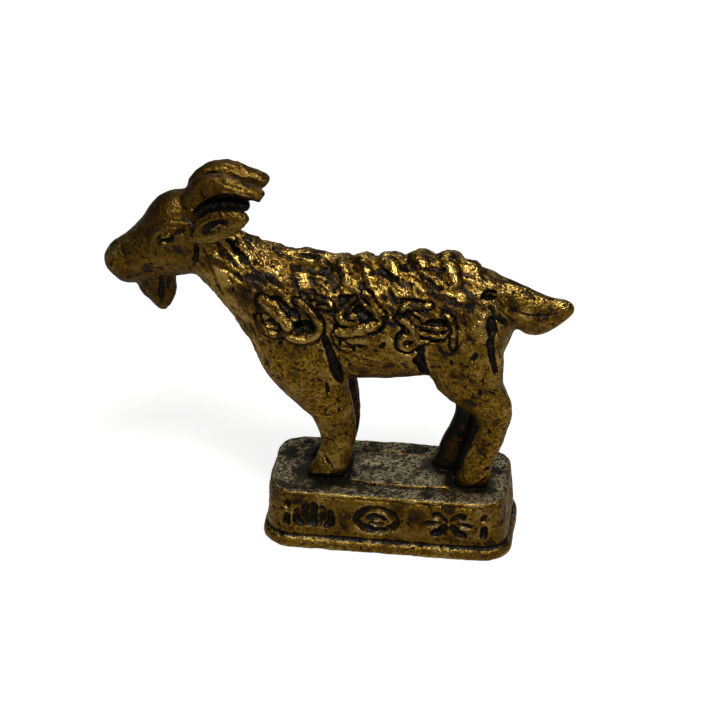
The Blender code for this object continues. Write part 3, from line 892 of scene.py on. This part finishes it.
def surface_attributes(field, marks, points, normals, grain, top):
    """What the material needs to know at each point: how recessed, worn and grimy it is, where the plinth
    faces up, and where shade and highlights are painted.
    """
    x, y, z = points.T
    up = normals[:, 2]
    near = {mark: field.sample(points, values) for mark, values in marks.items()}
    fine = -field.sample(points, blurred(field.values, 0.10))
    middle = -field.sample(points, blurred(field.values, 0.28))
    coarse = blurred(field.values[::3, ::3, ::3], 0.75 / 3)  # every third cell
    broad = -field.sample(field.low + (points - field.low) / 3, coarse)
    depth = -near["uncut"]

    # Where on the goat or the plinth each point lies.
    plinth = falls(top + 0.3, top + 0.6, z)
    # The plinth's up-facing faces, which take a greyer, speckled colour.
    stone = plinth * rises(0.75, 0.95, up)
    crown = rises(*CROWN_Z, z)
    high = rises(*BACK_Z, z) * (1 - 0.8 * crown)
    coat = high * (1 - crown)
    on_leg = np.maximum(falls(0.05, 0.3, near["legs"]) - crown, 0.0)
    inner_leg = on_leg * rises(-0.1, 0.4, -np.sign(y) * normals[:, 1])

    # Dark in concave places: the patina that the brass has in its recesses.
    hollow = 12.0 * fine + (6.0 + 4.0 * coat) * middle - 7.0 * grain
    # Darker in carved depths above the plinth, and painted shade in the broad gaps between parts, such as
    # under the horns, where shade falls.
    hollow += 1.6 * rises(top + 0.3, top + 0.9, z) * rises(0.04, 0.2, depth) + 1.8 * rises(0.08, 0.3, broad)
    # Painted shade and patina along the pools, tunnels and webs, where the surface was carved or built up.
    pooled_and_shaded = falls(-0.05, 0.15, near["pool_and_shade"]) * rises(0.03, 0.1, np.abs(depth))
    hollow = np.maximum(hollow, 1.6 * pooled_and_shaded)
    beside_cord = rises(-0.02, 0.06, near["bed"]) * falls(0.08, 0.28, near["bed"])
    hollow += (0.55 + 0.25 * noise(points, 0.7, 21)) * beside_cord

    # Painted highlight: the upper body's up-facing surfaces are made lighter where the light from above
    # falls; the rest is wear on raised parts, edges and the tail.
    wear = 0.38 * high * rises(0.1, 0.9, up)
    wear += 0.35 * rises(0.0, 0.12, -middle) * (1 - 0.6 * crown)
    wear += 0.35 * falls(0.0, 0.3, near["tail"]) + 0.5 * rises(0.006, 0.03, -fine)
    wear *= 1 - 0.8 * stone

    # Painted shade round the feet and low on them, where they meet the plinth.
    grime = 0.45 * falls(0.1, 1.1, near["legs"]) * falls(top + 0.2, top + 1.2, z)
    # Painted shade on the legs' faces that turn inwards, which lie in shade.
    grime += 0.95 * inner_leg * (0.6 + 0.8 * rises(-0.4, 0.4, noise(points, 0.5, 24)))
    # Darker towards the face, on the top of the head, and on the plinth where it doesn't face up.
    grime += 0.3 * (1 - 0.6 * crown) * falls(*FACE_X, x) + 0.22 * crown + 0.2 * (plinth - stone)
    grime += (0.08 + 0.25 * rises(0.0, 0.6, noise(points, 0.6, 23))) * stone
    # Darker on the horns.
    grime += 0.15 * rises(*HORN_Z, z) * rises(-13.2, -12.6, x)
    patches = rises(0.1, 0.5, streaks(points, (0.6, -0.8), 0.45, 1.3, 22))
    grime += 0.6 * patches * coat * rises(-13.0, -12.0, x)
    # Painted shade on the upper back behind the mane, which turns away from the light, most on up-facing
    # parts and towards the mane.
    crest = 0.1 + 0.1 * rises(0.6, 0.95, up) + 0.26 * falls(*RUMP_X, x)
    grime += crest * coat * rises(*MANE_X, x)
    # Darker between 15 and 20 mm up.
    grime += 0.15 * rises(14.5, 15.5, z) * falls(19.0, 20.5, z)
    return {"hollow": hollow, "wear": wear, "stone": stone, "grime": grime}


# ---- pieces ----

BEHIND = {"hollow": 2.0}  # the closing faces are all patina


def shown_by(field, rim, loop_of, hubs):
    """How far the cones from some rims to their hubs come out of the metal."""
    total = 0.01 * field.sample(hubs)
    for share in (0.1, 0.3, 0.55, 0.8, 1.0):
        value = field.sample(rim * (1 - share) + hubs[loop_of] * share)
        total += np.bincount(loop_of, np.maximum(value + 0.05, 0), len(hubs))
    return total


def closed_piece(field, points, normals, quads):
    """One piece of the surface, closed behind: points, normals, faces as quads and as triangles."""
    used, local = np.unique(quads, return_inverse=True)
    local = local.reshape(-1, 4)
    p, n = points[used], normals[used]
    starts = local.reshape(-1)
    ends = np.roll(local, -1, axis=1).reshape(-1)
    edge = ~np.isin(starts * len(used) + ends, ends * len(used) + starts)
    a, b = starts[edge], ends[edge]
    rim, rim_local = np.unique(np.concatenate([a, b]), return_inverse=True)
    depths = np.linspace(0.05, 0.5, 10)
    trial = np.stack([field.sample(p[rim] - n[rim] * d) for d in depths])
    inner = p[rim] - n[rim] * depths[np.argmin(trial, axis=0)][:, None]
    a_in, b_in = np.split(rim_local, 2)
    loop = joined(len(rim), np.stack([a_in, b_in], axis=1))
    loops, loop_of = np.unique(loop, return_inverse=True)
    hubs, sink = (
        np.stack([rows[loop_of == i].mean(axis=0) for i in range(len(loops))]) for rows in (inner, n[rim])
    )
    sink /= np.maximum(np.linalg.norm(sink, axis=1, keepdims=True), 0.1)
    reach = np.linspace(0.0, 1.75, 8)
    bare = [shown_by(field, inner, loop_of, hubs - sink * d) for d in reach]
    hubs = hubs - sink * reach[np.argmin(bare, axis=0)][:, None]
    first_inner = len(used)
    first_hub = first_inner + len(rim)
    walls = np.stack([b, a, first_inner + a_in, first_inner + b_in], axis=1)
    fans = np.stack([first_inner + b_in, first_inner + a_in, first_hub + loop_of[a_in]], axis=1)
    all_points = np.concatenate([p, inner, hubs])
    all_normals = np.concatenate([n, -n[rim], -sink])
    return used, all_points, all_normals, np.concatenate([local, walls]), fans


def make_object(name, points, normals, quads, triangles, attributes):
    """A piece with its own corner normals; the attributes stop where its closing faces begin."""
    mesh = bpy.data.meshes.new(name)
    loops = np.concatenate([quads.reshape(-1), triangles.reshape(-1)]).astype(np.int32)
    starts = np.concatenate([
        4 * np.arange(len(quads)), 4 * len(quads) + 3 * np.arange(len(triangles))
    ]).astype(np.int32)
    mesh.vertices.add(len(points))
    mesh.vertices.foreach_set("co", (points / MM).astype(np.float32).reshape(-1))
    mesh.loops.add(len(loops))
    mesh.loops.foreach_set("vertex_index", loops)
    mesh.polygons.add(len(starts))
    mesh.polygons.foreach_set("loop_start", starts)
    mesh.update(calc_edges=True)
    mesh.polygons.foreach_set("use_smooth", np.ones(len(starts), bool))
    for key, values in attributes.items():
        behind = np.full(len(points) - len(values), BEHIND.get(key, 0.0))
        data = mesh.attributes.new(key, "FLOAT", "POINT")
        data.data.foreach_set("value", np.append(values, behind).astype(np.float32))
    mesh.normals_split_custom_set_from_vertices(normals.astype(np.float32))
    return add_object(name, mesh)


def add_object(name, data):
    obj = bpy.data.objects.new(name, data)
    bpy.context.scene.collection.objects.link(obj)
    return obj


# ---- materials ----

# The near-black is the patina in the hollows and also painted shade.
PATINA_AND_SHADE = (0.012, 0.010, 0.006, 1)
UNDER_BRASS, UNDER_TOP = (0.11, 0.052, 0.008, 1), (0.07, 0.058, 0.03, 1)  # brown, beside the patina and the painted shade
BRASS_DARK, BRASS_LIGHT = (0.11, 0.055, 0.007, 1), (0.58, 0.335, 0.036, 1)
# The rubbed gold is wear and painted highlight together.
BRASS_OLIVE, RUBBED_AND_HIGHLIT_GOLD = (0.26, 0.17, 0.028, 1), (0.80, 0.53, 0.145, 1)
# Greyer, speckled colours for the plinth's up-facing faces.
TOP_DARK, TOP_LIGHT = (0.04, 0.034, 0.018, 1), (0.76, 0.65, 0.38, 1)
WHITE = (1, 1, 1, 1)


def node_adder(owner):
    """Empties the node tree of a material or a world, and gives back a function that adds nodes to it."""
    owner.use_nodes = True
    tree = owner.node_tree
    tree.nodes.clear()

    def add(kind, inputs=(), output=0, **settings):
        """A new node, its inputs set to numbers or linked to sockets; gives back one of its outputs."""
        made = tree.nodes.new("ShaderNode" + kind)
        for key, value in settings.items():
            setattr(made, key, value)
        for key, value in dict(inputs).items():
            if isinstance(value, bpy.types.NodeSocket):
                tree.links.new(value, made.inputs[key])
            else:
                made.inputs[key].default_value = value
        return made.outputs[output] if made.outputs else None

    return add


def brass_material():
    """Aged brass: near-black patina in the hollows, olive brown over all, rubbed gold on the high spots; the
    near-black also paints shade and the gold also paints highlights.
    """
    material = bpy.data.materials.new("aged_brass")
    add = node_adder(material)

    def attribute(name):
        return add("Attribute", output="Fac", attribute_name=name)

    def math_node(operation, a, b):
        return add("Math", {0: a, 1: b}, operation=operation)

    def plus(first, *others):
        """The first value with others added, each a value and its factor."""
        for value, factor in others:
            first = math_node("ADD", first, math_node("MULTIPLY", value, factor))
        return first

    def centred(value):
        return math_node("SUBTRACT", value, 0.5)

    def remap(value, low, high, to_low=0.0, to_high=1.0):
        limits = {"From Min": low, "From Max": high, "To Min": to_low, "To Max": to_high}
        return add("MapRange", {"Value": value, **limits}, interpolation_type="SMOOTHSTEP")

    def mixed(share, first, second):
        return add("Mix", {0: share, 6: first, 7: second}, output=2, data_type="RGBA")

    def noise_at(scale, detail, roughness):
        fineness = {"Scale": scale, "Detail": detail, "Roughness": roughness}
        return add("TexNoise", {"Vector": place, **fineness}, output="Fac")

    place = add("TexCoord", output="Object")
    blotch = noise_at(420.0, 4.0, 0.6)
    fleck = noise_at(5200.0, 3.0, 0.6)
    speck = noise_at(2400.0, 5.0, 0.7)
    stone = attribute("stone")
    # Patina, grime and painted shade together.
    dirt_and_shade = plus(attribute("hollow"), (centred(blotch), 0.35), (centred(speck), 0.9), (centred(fleck), 0.9))
    dirt_and_shade = math_node("ADD", dirt_and_shade, attribute("grime"))
    dark = remap(dirt_and_shade, 0.45, 1.0)
    brown = remap(dirt_and_shade, 0.0, 0.6)
    # Wear and painted highlight: lighter gold, and smoother.
    rub_and_highlight = remap(plus(attribute("wear"), (centred(speck), 0.8)), 0.45, 1.05)
    tint = mixed(remap(fleck, 0.38, 0.66), BRASS_DARK, BRASS_LIGHT)
    tint = mixed(remap(blotch, 0.4, 0.7, 0.0, 0.5), tint, BRASS_OLIVE)
    tint = mixed(rub_and_highlight, tint, RUBBED_AND_HIGHLIT_GOLD)
    tint = mixed(stone, tint, mixed(remap(fleck, 0.40, 0.60), TOP_DARK, TOP_LIGHT))
    tint = mixed(brown, tint, mixed(stone, UNDER_BRASS, UNDER_TOP))
    tint = mixed(dark, tint, PATINA_AND_SHADE)
    rough = plus(remap(speck, 0.3, 0.7, 0.24, 0.40), (rub_and_highlight, -0.12), (stone, 0.2), (dark, -0.04))
    metal = remap(dark, 0.0, 1.0, 1.0, 0.7)
    bump = add("Bump", {"Distance": 0.0001, "Height": fleck})
    looks = {"Base Color": tint, "Roughness": rough, "Metallic": metal, "Normal": bump}
    add("OutputMaterial", {"Surface": add("BsdfPrincipled", looks)})
    return material


# ---- stage ----

SKY = ((0.0, 0.08), (0.5, 0.015), (0.62, 0.03), (0.80, 0.07), (0.92, 0.14), (1.0, 0.25))  # height, level
SKY_TINT = (1.0, 0.99, 0.96)
FLOOR_REACH = 0.6
FLOOR_PALE, FLOOR_GLOW = (0.40, 0.40, 0.395, 1), 0.84
FLOOR_REFLECTED = (0.52, 0.50, 0.47, 1)
LIGHT_AIM = Vector((0, 0, 0.014))
LIGHTS = (  # name, place, size, power
    ("key", (0.035, -0.115, 0.232), 0.06, 0.41),
    ("back", (-0.05, 0.36, 0.22), 0.26, 0.12),
    ("front", (-0.02, -0.38, 0.05), 0.30, 0.07),
)
CAMERA_TURN, CAMERA_TILT = math.radians(7.6), math.radians(31.0)
CAMERA_DISTANCE, CAMERA_LENS = 0.203, 145.0
CAMERA_SHIFT = (-0.00217, 0.01134)  # of the point it looks at, to the right and upwards


def seen_or_reflected(add, seen, reflected):
    """A mix of two shaders: the first for the camera's own rays, the second for every other ray."""
    own = add("LightPath", output="Is Camera Ray")
    return add("MixShader", {0: own, 1: reflected, 2: seen})


def build_sky():
    """White where the camera sees it, and a dim gradient that the metal reflects."""
    world = bpy.data.worlds.new("studio")
    bpy.context.scene.world = world
    add = node_adder(world)
    place = add("TexCoord", output="Generated")
    height = add("SeparateXYZ", {0: place}, output="Z")
    lift = add("MapRange", {"Value": height, "From Min": -1.0})
    ramp = add("ValToRGB", {"Fac": lift}, output="Color")
    stops = ramp.node.color_ramp.elements
    while len(stops) < len(SKY):
        stops.new(0.5)
    for element, (at, level) in zip(stops, SKY):
        element.position = at
        element.color = (*(level * part for part in SKY_TINT), 1)
    around = add("Background", {"Color": ramp})
    white = add("Background", {"Color": WHITE})
    add("OutputWorld", {"Surface": seen_or_reflected(add, white, around)})


def build_floor():
    """A white sheet: bright and nearly without shadow for the camera, warm grey in reflections."""
    paper = bpy.data.materials.new("paper")
    add = node_adder(paper)
    pale = add("BsdfDiffuse", {"Color": FLOOR_PALE})
    glow = add("Emission", {"Strength": FLOOR_GLOW})
    lit = add("AddShader", {0: pale, 1: glow})
    dim = add("BsdfDiffuse", {"Color": FLOOR_REFLECTED})
    add("OutputMaterial", {"Surface": seen_or_reflected(add, lit, dim)})
    mesh = bpy.data.meshes.new("floor")
    corners = [(FLOOR_REACH * x, FLOOR_REACH * y, 0) for x, y in ((-1, -1), (1, -1), (1, 1), (-1, 1))]
    mesh.from_pydata(corners, [], [(0, 1, 2, 3)])
    mesh.materials.append(paper)
    add_object("floor", mesh)


def add_light(name, place, size, power):
    data = bpy.data.lights.new(name, "AREA")
    data.size = size
    data.energy = power
    light = add_object(name, data)
    light.location = place
    light.rotation_euler = (LIGHT_AIM - Vector(place)).to_track_quat("-Z", "Y").to_euler()


def add_camera():
    """A long lens, a little to the goat's rear of square on and 31 degrees above the ground."""
    right = Vector((math.cos(CAMERA_TURN), math.sin(CAMERA_TURN), 0))
    level = Vector((-math.sin(CAMERA_TURN), math.cos(CAMERA_TURN), 0))
    forward = level * math.cos(CAMERA_TILT) - Vector((0, 0, math.sin(CAMERA_TILT)))
    aim = right * CAMERA_SHIFT[0] + right.cross(forward) * CAMERA_SHIFT[1]
    data = bpy.data.cameras.new("camera")
    data.lens = CAMERA_LENS
    data.sensor_width = 36.0
    data.clip_start = 0.01
    camera = add_object("camera", data)
    camera.location = aim - forward * CAMERA_DISTANCE
    camera.rotation_euler = (-forward).to_track_quat("Z", "Y").to_euler()
    bpy.context.scene.camera = camera


# ---- assembly ----


def main():
    for obj in list(bpy.data.objects):
        bpy.data.objects.remove(obj)
    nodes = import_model()["nodes"]
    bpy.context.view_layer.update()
    names = sorted(nodes)
    field, marks = build_field(nodes, names)
    points, quads = surface(field)
    points, grain = displaced(field, points, quads)
    normals = mesh_normals(points, quads)
    top = node_corners("plinth_block")[1][2]
    attributes = surface_attributes(field, marks, points, normals, grain, top)
    label = shares(field, points, quads)
    material = brass_material()
    for index, node in enumerate(names):
        used, *shape = closed_piece(field, points, normals, quads[label == index])
        piece = make_object(node + "_cast", *shape, {key: v[used] for key, v in attributes.items()})
        piece.data.materials.append(material)
        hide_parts(node)
        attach(piece, "root")
    bpy.context.scene.view_settings.view_transform = "Standard"
    build_sky()
    build_floor()
    for light in LIGHTS:
        add_light(*light)
    add_camera()


main()
